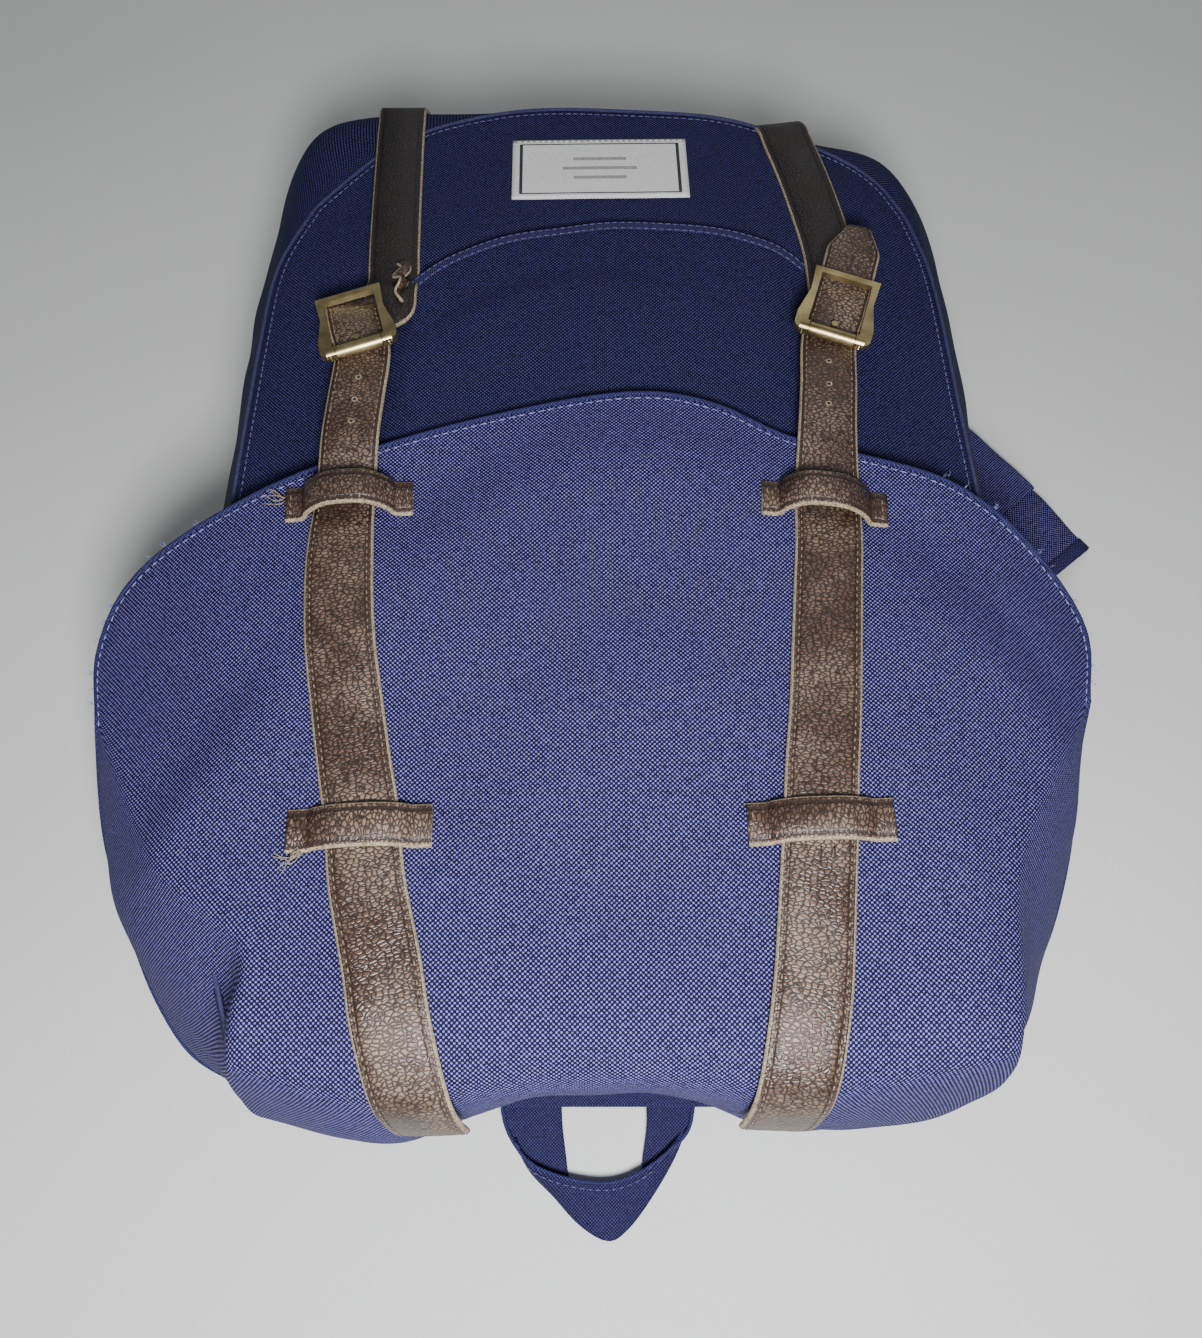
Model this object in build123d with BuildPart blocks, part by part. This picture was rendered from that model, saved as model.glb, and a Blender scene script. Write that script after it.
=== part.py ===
from build123d import *
import os

os.makedirs("parts", exist_ok=True)

# A flap-top travel backpack, lying on its back. Millimetres, +Z up.
# +Y runs from the mouth to the bottom of the bag, +X to the right seen from above.
# The origin is on the surface that the bag lies on, under the middle of the back pad.

# ---- driving dimensions ----
bag_half_width = 152
bag_bottom_y = 231
bottom_corner_radius = 46
mouth_half_width = 118
mouth_y = -206
taper_start_y = -90
fabric = 3

pad_thickness = 9
back_panel_thickness = 6
front_top_z = 134
back_top_z = pad_thickness + back_panel_thickness
front_under_z = front_top_z - fabric
wall_height = front_under_z - back_top_z

lid_under_z = 141.5
lid_thickness = 4
lid_top_z = lid_under_z + lid_thickness
lid_end_y = -217
lid_skirt_z = 48
lid_hinge_z = 17
lid_tip = (183, -66)

strap_width = 25
lower_strap_width = 22
leather = 2.4
strap_hinge_y = {"left": 26, "right": 31}

zip_centre_y = 22
zip_radius = 119
zip_half_angle = 38

SIDES = {"left": -1, "right": 1}


def save(builder, label):
    builder.part.label = label
    export_step(builder.part, f"parts/{label}.step")


def bag_outline(inset, near_y):
    """The plan of the bag: parallel sides, tapered to the mouth, round bottom corners."""
    wide = bag_half_width - inset
    narrow = mouth_half_width - inset
    end = bag_bottom_y - inset
    with BuildSketch(Plane.XY) as outline:
        with BuildLine():
            Polyline(
                (-narrow, near_y),
                (narrow, near_y),
                (wide, taper_start_y),
                (wide, end),
                (-wide, end),
                (-wide, taper_start_y),
                close=True,
            )
        make_face()
        fillet(outline.vertices().group_by(Axis.Y)[-1], bottom_corner_radius - inset)
    return outline.sketch


def strip(points, width):
    """A flat strap seen from above, of one width along a smooth line."""
    with BuildSketch(Plane.XY) as flat:
        with BuildLine():
            Spline(*points)
        trace(line_width=width)
    return flat.sketch


# ---- back, base and sides of the bag ----
with BuildPart() as back_panel:
    with BuildSketch(Plane.XY.offset(pad_thickness)):
        add(bag_outline(0, mouth_y))
    extrude(amount=back_panel_thickness)
save(back_panel, "back_panel")

with BuildPart() as back_pad:
    with BuildSketch():
        RectangleRounded(58, 330, 20)
    extrude(amount=pad_thickness)
    fillet(back_pad.edges().group_by(Axis.Z)[0], 2)
save(back_pad, "back_pad")

for side, sign in SIDES.items():
    with BuildPart() as side_panel:
        with BuildSketch(Plane.XY.offset(back_top_z)):
            with BuildLine():
                arc_start_y = bag_bottom_y - bottom_corner_radius
                Polyline(
                    (sign * mouth_half_width, mouth_y),
                    (sign * bag_half_width, taper_start_y),
                    (sign * bag_half_width, arc_start_y),
                )
                CenterArc(
                    (sign * (bag_half_width - bottom_corner_radius), arc_start_y),
                    bottom_corner_radius,
                    0 if sign > 0 else 180,
                    sign * 90,
                )
                offset(amount=fabric, side=Side.LEFT if sign > 0 else Side.RIGHT)
            make_face()
        extrude(amount=wall_height)
    save(side_panel, f"side_panel_{side}")

with BuildPart() as bottom_panel:
    with BuildSketch(Plane.XY.offset(back_top_z)):
        with Locations((0, bag_bottom_y - fabric / 2)):
            Rectangle(2 * (bag_half_width - bottom_corner_radius), fabric)
    extrude(amount=wall_height)
save(bottom_panel, "bottom_panel")

# ---- front of the bag ----
with BuildPart() as front_panel:
    with BuildSketch(Plane.XY.offset(front_under_z)):
        add(bag_outline(0, mouth_y))
    extrude(amount=fabric)
save(front_panel, "front_panel")

# Bound seam inside the bag, all along the front panel's edge.
seam_tape_width = 5
seam_tape_height = 2.5
with BuildPart() as front_seam_binding:
    with BuildSketch(Plane.XY.offset(front_under_z - seam_tape_height)):
        add(bag_outline(fabric + 0.4, taper_start_y))
        add(bag_outline(fabric + 0.4 + seam_tape_width, taper_start_y - 1), mode=Mode.SUBTRACT)
    extrude(amount=seam_tape_height)
    split(bisect_by=Plane.XZ.offset(-taper_start_y - 1), keep=Keep.BOTTOM)
save(front_seam_binding, "front_seam_binding")

# ---- inside: sleeve for a laptop, hem of the mouth with its eyelets ----
sleeve_gap = 19
sleeve_thickness = 3.5
with BuildPart() as laptop_sleeve:
    with BuildSketch(Plane.XY.offset(back_top_z + sleeve_gap)):
        add(bag_outline(8, mouth_y + 30))
    extrude(amount=sleeve_thickness)
save(laptop_sleeve, "laptop_sleeve")

hem_cloth = 1.5
hem_half_width = mouth_half_width - fabric - 1
hem_low_z = back_top_z + 0.4
hem_high_z = front_under_z - 0.4
hem_near_y = -206
hem_far_y = -186
eyelet_y = -199
eyelet_xs = (-85, -28, 28, 85)
with BuildPart() as mouth_hem:
    with BuildSketch(Plane.XZ.offset(-hem_far_y)):
        with Locations((0, (hem_low_z + hem_high_z) / 2)):
            RectangleRounded(2 * hem_half_width, hem_high_z - hem_low_z, 6)
        offset(amount=-hem_cloth, mode=Mode.SUBTRACT)
    extrude(amount=hem_far_y - hem_near_y)
    with Locations([(x, eyelet_y, front_top_z / 2) for x in eyelet_xs]):
        Cylinder(3.2, front_top_z, mode=Mode.SUBTRACT)
save(mouth_hem, "mouth_hem")

# Brass eyelets for a drawcord: a barrel through the hem with a flange inside.
with BuildPart() as mouth_eyelets:
    for barrel_z, flange_z in (
        (hem_high_z - hem_cloth / 2, hem_high_z - hem_cloth - 0.4),
        (hem_low_z + hem_cloth / 2, hem_low_z + hem_cloth + 0.4),
    ):
        with Locations([(x, eyelet_y, barrel_z) for x in eyelet_xs]):
            Cylinder(3.1, hem_cloth)
        with Locations([(x, eyelet_y, flange_z) for x in eyelet_xs]):
            Cylinder(5.5, 0.8)
    with Locations([(x, eyelet_y, front_top_z / 2) for x in eyelet_xs]):
        Cylinder(2.3, front_top_z, mode=Mode.SUBTRACT)
save(mouth_eyelets, "mouth_eyelets")

# ---- front pocket: lining, arched zip and the placket that covers it ----
with BuildPart() as pocket_lining:
    with BuildSketch(Plane.XY.offset(front_under_z - 3.6)):
        with Locations((0, 30)):
            RectangleRounded(200, 230, 30)
    extrude(amount=1)
save(pocket_lining, "pocket_lining")


def zip_band(centre_radius, width):
    """An arched band about the centre of the zip."""
    with BuildSketch(Plane.XY) as band:
        with BuildLine():
            CenterArc((0, zip_centre_y), centre_radius, 90 - zip_half_angle, 2 * zip_half_angle)
        trace(line_width=width)
    return band.sketch


zip_tape = 0.6
zip_teeth = 0.8
slider_z = front_top_z + zip_tape + zip_teeth + 0.3
slider_height = 1.7
placket_z = slider_z + slider_height + 0.3
with BuildPart() as pocket_zip_tape:
    with BuildSketch(Plane.XY.offset(front_top_z)):
        add(zip_band(zip_radius, 16))
    extrude(amount=zip_tape)
save(pocket_zip_tape, "pocket_zip_tape")

with BuildPart() as pocket_zip_teeth:
    with BuildSketch(Plane.XY.offset(front_top_z + zip_tape)):
        add(zip_band(zip_radius, 4.4))
    extrude(amount=zip_teeth)
save(pocket_zip_teeth, "pocket_zip_teeth")

with BuildPart() as pocket_placket:
    with BuildSketch(Plane.XY.offset(placket_z)):
        add(zip_band(zip_radius, 16))
    extrude(amount=1)
    with BuildSketch(Plane.XY.offset(front_top_z + zip_tape)):
        add(zip_band(zip_radius + 7, 1.6))
    extrude(amount=placket_z - front_top_z - zip_tape)
save(pocket_placket, "pocket_placket")

# The slider rests at the right end of the zip, along the zip's tangent there.
slider_angle = 90 - zip_half_angle + 4
slider_plane = Plane(
    Pos(0, zip_centre_y, slider_z) * Rot(0, 0, slider_angle) * Pos(zip_radius, 0, 0)
)
with BuildPart() as zip_slider:
    with BuildSketch(slider_plane):
        RectangleRounded(8, 9, 2)
    extrude(amount=slider_height)
save(zip_slider, "zip_slider")

pull_height = 1
with BuildPart() as zip_pull:
    with BuildSketch(slider_plane.offset(-pull_height)):
        with Locations((-9.5, 0)):
            RectangleRounded(10, 5, 2)
    extrude(amount=pull_height)
    with BuildSketch(slider_plane.offset(-pull_height)):
        with Locations((-12.5, 0)):
            Circle(1)
    extrude(amount=pull_height, mode=Mode.SUBTRACT)
    with BuildSketch(slider_plane):
        with Locations((-5.5, 0)):
            Rectangle(3, 4)
    extrude(amount=slider_height - 0.6)
save(zip_pull, "zip_pull")

label_size = (80, 40)
label_place = (-1.5, 188)
with BuildPart() as label_patch:
    with BuildSketch(Plane.XY.offset(front_top_z)):
        with Locations(label_place):
            RectangleRounded(*label_size, 1)
    extrude(amount=0.8)
save(label_patch, "label_patch")

# ---- lower straps, sewn to the front, each with the magnet that catches the clip ----
lower_strap_paths = {
    "left": ((-94.5, 227), (-92, 160), (-90, 96)),
    "right": ((84, 227), (96, 150), (98, 96)),
}
catch_points = {"left": (-95, 90), "right": (97, 97)}
for side, path in lower_strap_paths.items():
    with BuildPart() as lower_strap:
        with BuildSketch(Plane.XY.offset(front_top_z)):
            add(strip(path, lower_strap_width))
            with Locations(path[-1]):
                Circle(lower_strap_width / 2)
        extrude(amount=leather)
        with Locations((*catch_points[side], front_top_z + leather)):
            Cylinder(6.2, 2.4, mode=Mode.SUBTRACT)
    save(lower_strap, f"lower_strap_{side}")

    with BuildPart() as catch_magnet:
        with Locations((*catch_points[side], front_top_z + leather - 1.2)):
            Cylinder(6, 2, align=(Align.CENTER, Align.CENTER, Align.MIN))
    save(catch_magnet, f"catch_magnet_{side}")

# ---- shoulder harness: pads under the bag, webbing, ladder locks, wings and tails ----
pad_width = 60
yoke_thickness = 2
with BuildPart() as yoke_patch:
    with BuildSketch(Plane.XY.offset(pad_thickness - yoke_thickness)):
        with Locations((0, -192)):
            RectangleRounded(204, 24, 4)
    extrude(amount=yoke_thickness)
save(yoke_patch, "yoke_patch")

pad_paths = {
    "left": ((-64, -178), (-68, -90), (-88, -20), (-128, 26)),
    "right": ((64, -178), (68, -90), (96, -20), (150, 20)),
}
webbing_runs = {
    "left": ((-137, 36), (-167, 96)),
    "right": ((160.5, 28.5), (199, 83)),
}
wing_corners = {
    "left": ((-148, 100), (-148, 182), (-181, 121), (-172, 103)),
    "right": ((150, 130), (150, 182), (223, 97), (203, 80)),
}
tail_ends = {
    "left": ((-160, 136), (-187, 72)),
    "right": ((188, 120), (238.5, 58)),
}
lock_low_z = 2.3
lock_height = 4.4
tail_low_z = 0.6
webbing_thickness = 1.4
for side, sign in SIDES.items():
    with BuildPart() as shoulder_pad:
        with BuildSketch():
            add(strip(pad_paths[side], pad_width))
        extrude(amount=pad_thickness - yoke_thickness)
    save(shoulder_pad, f"shoulder_pad_{side}")

    start = Vector(*webbing_runs[side][0])
    end = Vector(*webbing_runs[side][1])
    run = end - start
    run_angle = Vector(0, 1, 0).get_signed_angle(run, Vector(0, 0, 1))
    with BuildPart() as strap_webbing:
        with BuildSketch(Plane.XY.offset(lock_low_z + 1)):
            with BuildLine():
                Line(webbing_runs[side][0], webbing_runs[side][1])
            trace(line_width=strap_width)
        extrude(amount=webbing_thickness)
    save(strap_webbing, f"strap_webbing_{side}")

    # The ladder lock lies past the end of the webbing, in line with it.
    lock_length = 22
    lock_plane = Plane(
        Pos(end.X, end.Y, lock_low_z) * Rot(0, 0, run_angle) * Pos(0, lock_length / 2 + 0.4, 0)
    )
    with BuildPart() as ladder_lock:
        with BuildSketch(lock_plane):
            RectangleRounded(33, lock_length, 3)
            with GridLocations(0, 10, 1, 2):
                Rectangle(26, 3.6, mode=Mode.SUBTRACT)
        extrude(amount=lock_height)
    save(ladder_lock, f"ladder_lock_{side}")

    with BuildPart() as strap_wing:
        with BuildSketch(Plane.XY.offset(pad_thickness - 2)):
            with BuildLine():
                Polyline(*wing_corners[side], close=True)
            make_face()
        extrude(amount=2)
    save(strap_wing, f"strap_wing_{side}")

    with BuildPart() as webbing_tail:
        with BuildSketch(Plane.XY.offset(tail_low_z)):
            with BuildLine():
                Line(*tail_ends[side])
            trace(line_width=strap_width)
        extrude(amount=webbing_thickness)
    save(webbing_tail, f"webbing_tail_{side}")

# ---- haul loop: fixed roots under the yoke, and the free loop past the lid ----
loop_z = 3.5
loop_cloth = 3
loop_hinge_y = -220.5
loop_tip_y = -254
with BuildPart() as haul_loop_base:
    with BuildSketch(Plane.XY.offset(loop_z)):
        with GridLocations(55, 0, 2, 1):
            with Locations((0, (-206 + loop_hinge_y + 3) / 2)):
                Rectangle(23, 12)
    extrude(amount=loop_cloth)
save(haul_loop_base, "haul_loop_base")

with BuildPart() as haul_loop:
    with BuildSketch(Plane.XY.offset(loop_z)):
        with BuildLine():
            Polyline(
                (-39, loop_hinge_y - 0.5),
                (39, loop_hinge_y - 0.5),
                (30, -232),
                (8, loop_tip_y),
                (-8, loop_tip_y),
                (-30, -232),
                close=True,
            )
        make_face()
        fillet(vertices().group_by(Axis.Y)[0], 6)
        with BuildLine():
            Polyline(
                (-16, loop_hinge_y),
                (16, loop_hinge_y),
                (14, -229),
                (0, -231.5),
                (-14, -229),
                close=True,
            )
        make_face(mode=Mode.SUBTRACT)
    extrude(amount=loop_cloth)
save(haul_loop, "haul_loop")

# ---- lid: front with its arched edge, end wall, side skirts and edge binding ----
lid_arch_end = (127, 4)
lid_shoulder_mid = (164, -24)
lid_apex_y = 48
skirt_points = (lid_tip, (182, -92), (176, -140), (158, -180), (134, -208), (102, lid_end_y))

def lid_arch():
    """The free edge of the lid, from the left tip over the arch to the right tip."""
    with BuildLine() as arch:
        ThreePointArc(
            (-lid_tip[0], lid_tip[1]),
            (-lid_shoulder_mid[0], lid_shoulder_mid[1]),
            (-lid_arch_end[0], lid_arch_end[1]),
        )
        ThreePointArc((-lid_arch_end[0], lid_arch_end[1]), (0, lid_apex_y), lid_arch_end)
        ThreePointArc(lid_arch_end, lid_shoulder_mid, lid_tip)
    return arch.line


with BuildPart() as lid_front_panel:
    with BuildSketch(Plane.XY.offset(lid_under_z)):
        with BuildLine():
            add(lid_arch())
            Polyline(
                *skirt_points,
                *[(-x, y) for x, y in reversed(skirt_points)],
            )
        make_face()
    extrude(amount=lid_thickness)
save(lid_front_panel, "lid_front_panel")

with BuildPart() as lid_binding:
    with BuildSketch(Plane.XY.offset(lid_under_z)):
        with BuildLine():
            add(lid_arch())
            offset(amount=1.2, side=Side.LEFT)
        make_face()
    extrude(amount=lid_thickness)
save(lid_binding, "lid_binding")

lid_end_half_width = 98
with BuildPart() as lid_end_panel:
    with BuildSketch(Plane.XY.offset(lid_hinge_z + 4)):
        with Locations((0, lid_end_y + fabric / 2)):
            Rectangle(2 * lid_end_half_width, fabric)
    extrude(amount=lid_under_z - lid_hinge_z - 4)
save(lid_end_panel, "lid_end_panel")

for side, sign in SIDES.items():
    with BuildPart() as lid_side:
        with BuildSketch(Plane.XY.offset(lid_skirt_z)):
            with BuildLine():
                Polyline(*[(sign * x, y) for x, y in skirt_points])
                offset(amount=fabric, side=Side.RIGHT if sign > 0 else Side.LEFT)
            make_face()
        extrude(amount=lid_under_z - lid_skirt_z)
    save(lid_side, f"lid_side_{side}")

# ---- upper straps, sewn on the lid and turned down over its end, with their keepers ----
upper_strap_paths = {
    "left": ((-56, lid_end_y), (-78, -143), (-93, -64), (-97.5, 0), (-98, 25.4)),
    "right": ((57, lid_end_y), (69.5, -143), (79, -64), (84.5, 0), (87, 30.4)),
}
strap_drop_z = 106
for side, path in upper_strap_paths.items():
    with BuildPart() as upper_strap:
        with BuildSketch(Plane.XY.offset(lid_top_z)):
            add(strip(path, strap_width))
        extrude(amount=leather)
        with BuildSketch(Plane.XY.offset(strap_drop_z)):
            with Locations((path[0][0], lid_end_y - leather / 2)):
                Rectangle(strap_width, leather)
        extrude(amount=lid_top_z + leather - strap_drop_z)
    save(upper_strap, f"upper_strap_{side}")

keeper_width = 15
keeper_half_span = 17
keeper_half_length = 24.5
keepers = {
    "upper_keeper_left": (-96.5, -1, 6.5),
    "upper_keeper_right": (83.5, -3, 6.5),
    "lower_keeper_left": (-80.5, -132, 0.4),
    "lower_keeper_right": (71.5, -130, 0.4),
}
for name, (x, y, arch) in keepers.items():
    with BuildPart() as keeper:
        bridge_z = lid_top_z + leather + arch
        with BuildSketch(Plane.XZ.offset(-y - keeper_width / 2)):
            with BuildLine():
                Polyline(
                    (x - keeper_half_length, lid_top_z),
                    (x - keeper_half_span, lid_top_z),
                    (x - keeper_half_span + 1.5, bridge_z),
                    (x + keeper_half_span - 1.5, bridge_z),
                    (x + keeper_half_span, lid_top_z),
                    (x + keeper_half_length, lid_top_z),
                    (x + keeper_half_length, lid_top_z + leather),
                    (x + keeper_half_span + 1.5, lid_top_z + leather),
                    (x + keeper_half_span - 1, bridge_z + leather),
                    (x - keeper_half_span + 1, bridge_z + leather),
                    (x - keeper_half_span - 1.5, lid_top_z + leather),
                    (x - keeper_half_length, lid_top_z + leather),
                    close=True,
                )
            make_face()
        extrude(amount=keeper_width)
    save(keeper, name)

# ---- strap ends: tail, roller buckle, and the clip plate with its pin and magnet ----
# Each buckle has its own plane: the roller's axis is the plane's X axis.
buckle_planes = {
    "left": Plane(Pos(-101.5, 83, 149.5) * Rot(0, 0, 15) * Rot(-7, -6, 0)),
    "right": Plane(Pos(96.5, 90.3, 150) * Rot(0, 0, -17) * Rot(0, 5, 0)),
}
roller_y = -15.5
roller_radius = 2.7
roller_half_length = 9.4
axle_radius = 1.3
roller_clearance = 0.06
frame_thickness = 2.6
tail_top = -roller_radius - 0.3
tail_tips = {"left": 15, "right": 47}
tail_bends = {"left": (-97.5, 52), "right": (90, 60)}
pin_y = -10.9
clip_thickness = 0.8
magnet_thickness = 2.2
for side, plane in buckle_planes.items():
    tip_y = tail_tips[side]
    tail_root_x = upper_strap_paths[side][-1][0]
    with BuildPart() as strap_tail:
        with BuildSketch(Plane.XY.offset(lid_top_z)):
            with BuildLine():
                Line((tail_root_x, strap_hinge_y[side] + 0.6), tail_bends[side])
            trace(line_width=lower_strap_width)
        extrude(amount=leather)
        with BuildSketch(plane.offset(tail_top)):
            with BuildLine():
                Polyline(
                    (-11, -38),
                    (11, -38),
                    (11, tip_y - 8),
                    (4, tip_y),
                    (-8, tip_y),
                    (-11, tip_y - 4),
                    close=True,
                )
            make_face()
        extrude(amount=-leather)
        with BuildSketch(plane.offset(tail_top)):
            with Locations((0, pin_y)):
                Circle(1.6)
        extrude(amount=-leather, mode=Mode.SUBTRACT)
    save(strap_tail, f"strap_tail_{side}")

    with BuildPart() as buckle_frame:
        with BuildSketch(plane.offset(-frame_thickness / 2)):
            with BuildLine():
                Polyline(
                    (-13.9, 17),
                    (13.9, 17),
                    (13.2, 4),
                    (15.9, -9),
                    (15.9, -18),
                    (-15.9, -18),
                    (-15.9, -9),
                    (-13.2, 4),
                    close=True,
                )
            make_face()
            fillet(vertices().group_by(Axis.Y)[0], 4)
            with Locations((0, 0.8)):
                Rectangle(21.6, 26.8, mode=Mode.SUBTRACT)
            with Locations((0, -16)):
                Rectangle(2 * roller_half_length + 0.6, 8, mode=Mode.SUBTRACT)
        extrude(amount=frame_thickness)
        with Locations(plane):
            with Locations((0, roller_y, 0)):
                Cylinder(axle_radius, 24, rotation=(0, 90, 0))
            for end in (-1, 1):
                with Locations((end * (roller_half_length + 0.3 + 1.9), roller_y, 0)):
                    Cylinder(roller_radius - 0.2, 3.8, rotation=(0, 90, 0))
    save(buckle_frame, f"buckle_frame_{side}")

    with BuildPart() as buckle_roller:
        with Locations(plane):
            with Locations((0, roller_y, 0)):
                Cylinder(roller_radius, 2 * roller_half_length, rotation=(0, 90, 0))
                Cylinder(
                    axle_radius + roller_clearance,
                    2 * roller_half_length,
                    rotation=(0, 90, 0),
                    mode=Mode.SUBTRACT,
                )
    save(buckle_roller, f"buckle_roller_{side}")

    clip_top = tail_top - leather - 0.1
    with BuildPart() as clip_plate:
        with BuildSketch(plane.offset(clip_top)):
            with Locations((0, -2)):
                RectangleRounded(17, 24, 3)
        extrude(amount=-clip_thickness)
        with BuildSketch(plane.offset(clip_top)):
            with Locations((0, pin_y)):
                Circle(1.3)
        extrude(amount=1.6 - clip_top)
    save(clip_plate, f"clip_plate_{side}")

    with BuildPart() as clip_magnet:
        with BuildSketch(plane.offset(clip_top - clip_thickness)):
            Circle(6)
        extrude(amount=-magnet_thickness)
    save(clip_magnet, f"clip_magnet_{side}")
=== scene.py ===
import random
from math import cos, exp, hypot, pi, radians, sin, sqrt

import bmesh
import bpy
from mathutils import Matrix, Vector, noise
from mathutils.bvhtree import BVHTree
from mathutils.kdtree import KDTree


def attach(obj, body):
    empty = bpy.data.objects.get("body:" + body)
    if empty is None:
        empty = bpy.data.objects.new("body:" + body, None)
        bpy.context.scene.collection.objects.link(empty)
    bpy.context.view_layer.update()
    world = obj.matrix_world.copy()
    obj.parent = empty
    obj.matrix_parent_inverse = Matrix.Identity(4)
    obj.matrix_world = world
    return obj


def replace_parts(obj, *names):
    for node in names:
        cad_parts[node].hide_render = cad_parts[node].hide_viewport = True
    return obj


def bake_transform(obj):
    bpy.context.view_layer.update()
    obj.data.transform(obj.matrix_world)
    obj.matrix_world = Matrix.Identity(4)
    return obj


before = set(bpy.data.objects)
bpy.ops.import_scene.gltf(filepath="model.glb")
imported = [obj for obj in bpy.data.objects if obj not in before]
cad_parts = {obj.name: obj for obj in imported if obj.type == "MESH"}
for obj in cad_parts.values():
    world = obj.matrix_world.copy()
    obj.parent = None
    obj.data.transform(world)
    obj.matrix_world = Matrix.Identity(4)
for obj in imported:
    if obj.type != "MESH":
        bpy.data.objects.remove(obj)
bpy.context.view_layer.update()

# Lengths below are in millimetres, and MM turns them into metres where Blender needs them.
MM = 0.001
UP = Vector((0, 0, 1))
SIDES = {"left": -1, "right": 1}


# --- lines and grids of points
def smooth(t):
    """0 below 0, 1 above 1, and a smooth step between."""
    t = max(0.0, min(1.0, t))
    return t * t * (3 - 2 * t)


def lengths_along(line):
    """How long the line is up to each of its points."""
    lengths = [0.0]
    for a, b in zip(line, line[1:]):
        lengths.append(lengths[-1] + (b - a).length)
    return lengths


def spaced(line, count):
    """The same line with count points at equal steps of its length."""
    lengths = lengths_along(line)
    out = []
    k = 0
    for i in range(count):
        want = lengths[-1] * i / (count - 1)
        while k < len(line) - 2 and lengths[k + 1] < want:
            k += 1
        part = lengths[k + 1] - lengths[k]
        t = (want - lengths[k]) / part if part > 1e-9 else 0
        out.append(line[k].lerp(line[k + 1], max(0.0, min(1.0, t))))
    return out


def through(points, count, steps=24):
    """A smooth curve through the points, as count points evenly spaced along it."""
    pts = [Vector(p).to_3d() for p in points]
    if len(pts) == 2:
        return [pts[0].lerp(pts[1], i / (count - 1)) for i in range(count)]
    ends = [pts[0] * 2 - pts[1], *pts, pts[-1] * 2 - pts[-2]]
    fine = []
    for a, b, c, d in zip(ends, ends[1:], ends[2:], ends[3:]):
        for i in range(steps):
            t = i / steps
            square, cube = 2 * a - 5 * b + 4 * c - d, 3 * b - a - 3 * c + d
            fine.append(0.5 * (2 * b + (c - a) * t + square * t**2 + cube * t**3))
    return spaced(fine + [pts[-1]], count)


def coons(near, far, left, right):
    """The patch spanned by four edges, as rows from near to far."""
    rows = []
    for j, (a, b) in enumerate(zip(left, right)):
        v = j / (len(left) - 1)
        row = []
        for i, (c, d) in enumerate(zip(near, far)):
            u = i / (len(near) - 1)
            corners = near[0].lerp(near[-1], u).lerp(far[0].lerp(far[-1], u), v)
            row.append(c.lerp(d, v) + a.lerp(b, u) - corners)
        rows.append(row)
    return rows


def frames(line, side_hint):
    """For each point of a line: its tangent, its sideways direction and its normal."""
    out = []
    hint = Vector(side_hint)
    for i in range(len(line)):
        tangent = (line[min(i + 1, len(line) - 1)] - line[max(i - 1, 0)]).normalized()
        side = (hint - tangent * hint.dot(tangent)).normalized()
        out.append((tangent, side, side.cross(tangent)))
    return out


def circle(centre, a, b, radius, count):
    """Points round a centre, in the plane of the directions a and b."""
    turns = [2 * pi * i / count for i in range(count)]
    return [centre + (a * cos(turn) + b * sin(turn)) * radius for turn in turns]


def ring_faces(rings, sides, start=0):
    """The faces of a closed tube made of rings of points: its wall, then its two ends."""
    faces = []
    for k in range(rings - 1):
        for i in range(sides):
            a, b = start + k * sides + i, start + k * sides + (i + 1) % sides
            faces.append((a, a + sides, b + sides, b))
    last = start + (rings - 1) * sides
    return faces + [tuple(range(start, start + sides)), tuple(reversed(range(last, last + sides)))]


# --- meshes
def mesh_object(name, verts, faces, materials, uvs=None, indices=None):
    """A new smooth object, its verts in millimetres, its uvs (one per vertex) in metres."""
    mesh = bpy.data.meshes.new(name)
    mesh.from_pydata([tuple(Vector(v) * MM) for v in verts], [], faces)
    for material in materials:
        mesh.materials.append(material)
    if indices:
        mesh.polygons.foreach_set("material_index", indices)
    if uvs:
        layer = mesh.uv_layers.new(name="cloth")
        for loop in mesh.loops:
            layer.data[loop.index].uv = uvs[loop.vertex_index]
    mesh.polygons.foreach_set("use_smooth", [True] * len(mesh.polygons))
    obj = bpy.data.objects.new(name, mesh)
    bpy.context.scene.collection.objects.link(obj)
    return obj


def edited(obj, *steps):
    """Runs the steps on the object's mesh."""
    bm = bmesh.new()
    bm.from_mesh(obj.data)
    for step in steps:
        step(bm)
    bm.to_mesh(obj.data)
    bm.free()
    return obj


def weld(bm):
    bmesh.ops.remove_doubles(bm, verts=bm.verts, dist=0.02 * MM)
    bmesh.ops.dissolve_degenerate(bm, edges=bm.edges, dist=1e-6)


def face_out(bm):
    bmesh.ops.recalc_face_normals(bm, faces=bm.faces)


def patchwork(name, materials, *grids):
    """Grids of points joined into one cloth mesh, welded where they meet.

    Each grid is its rows, their uvs (or None to take x and y), and whether its faces are turned over.
    """
    verts, faces, uvs = [], [], []
    for rows, places, flip in grids:
        start, wide = len(verts), len(rows[0])
        for j, row in enumerate(rows):
            verts += row
            uvs += places[j] if places else [(p.x * MM, p.y * MM) for p in row]
            if j:
                for a in range(start + (j - 1) * wide, start + j * wide - 1):
                    quad = (a, a + 1, a + wide + 1, a + wide)
                    faces.append(quad[::-1] if flip else quad)
    return edited(mesh_object(name, verts, faces, materials, uvs), weld)


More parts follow.
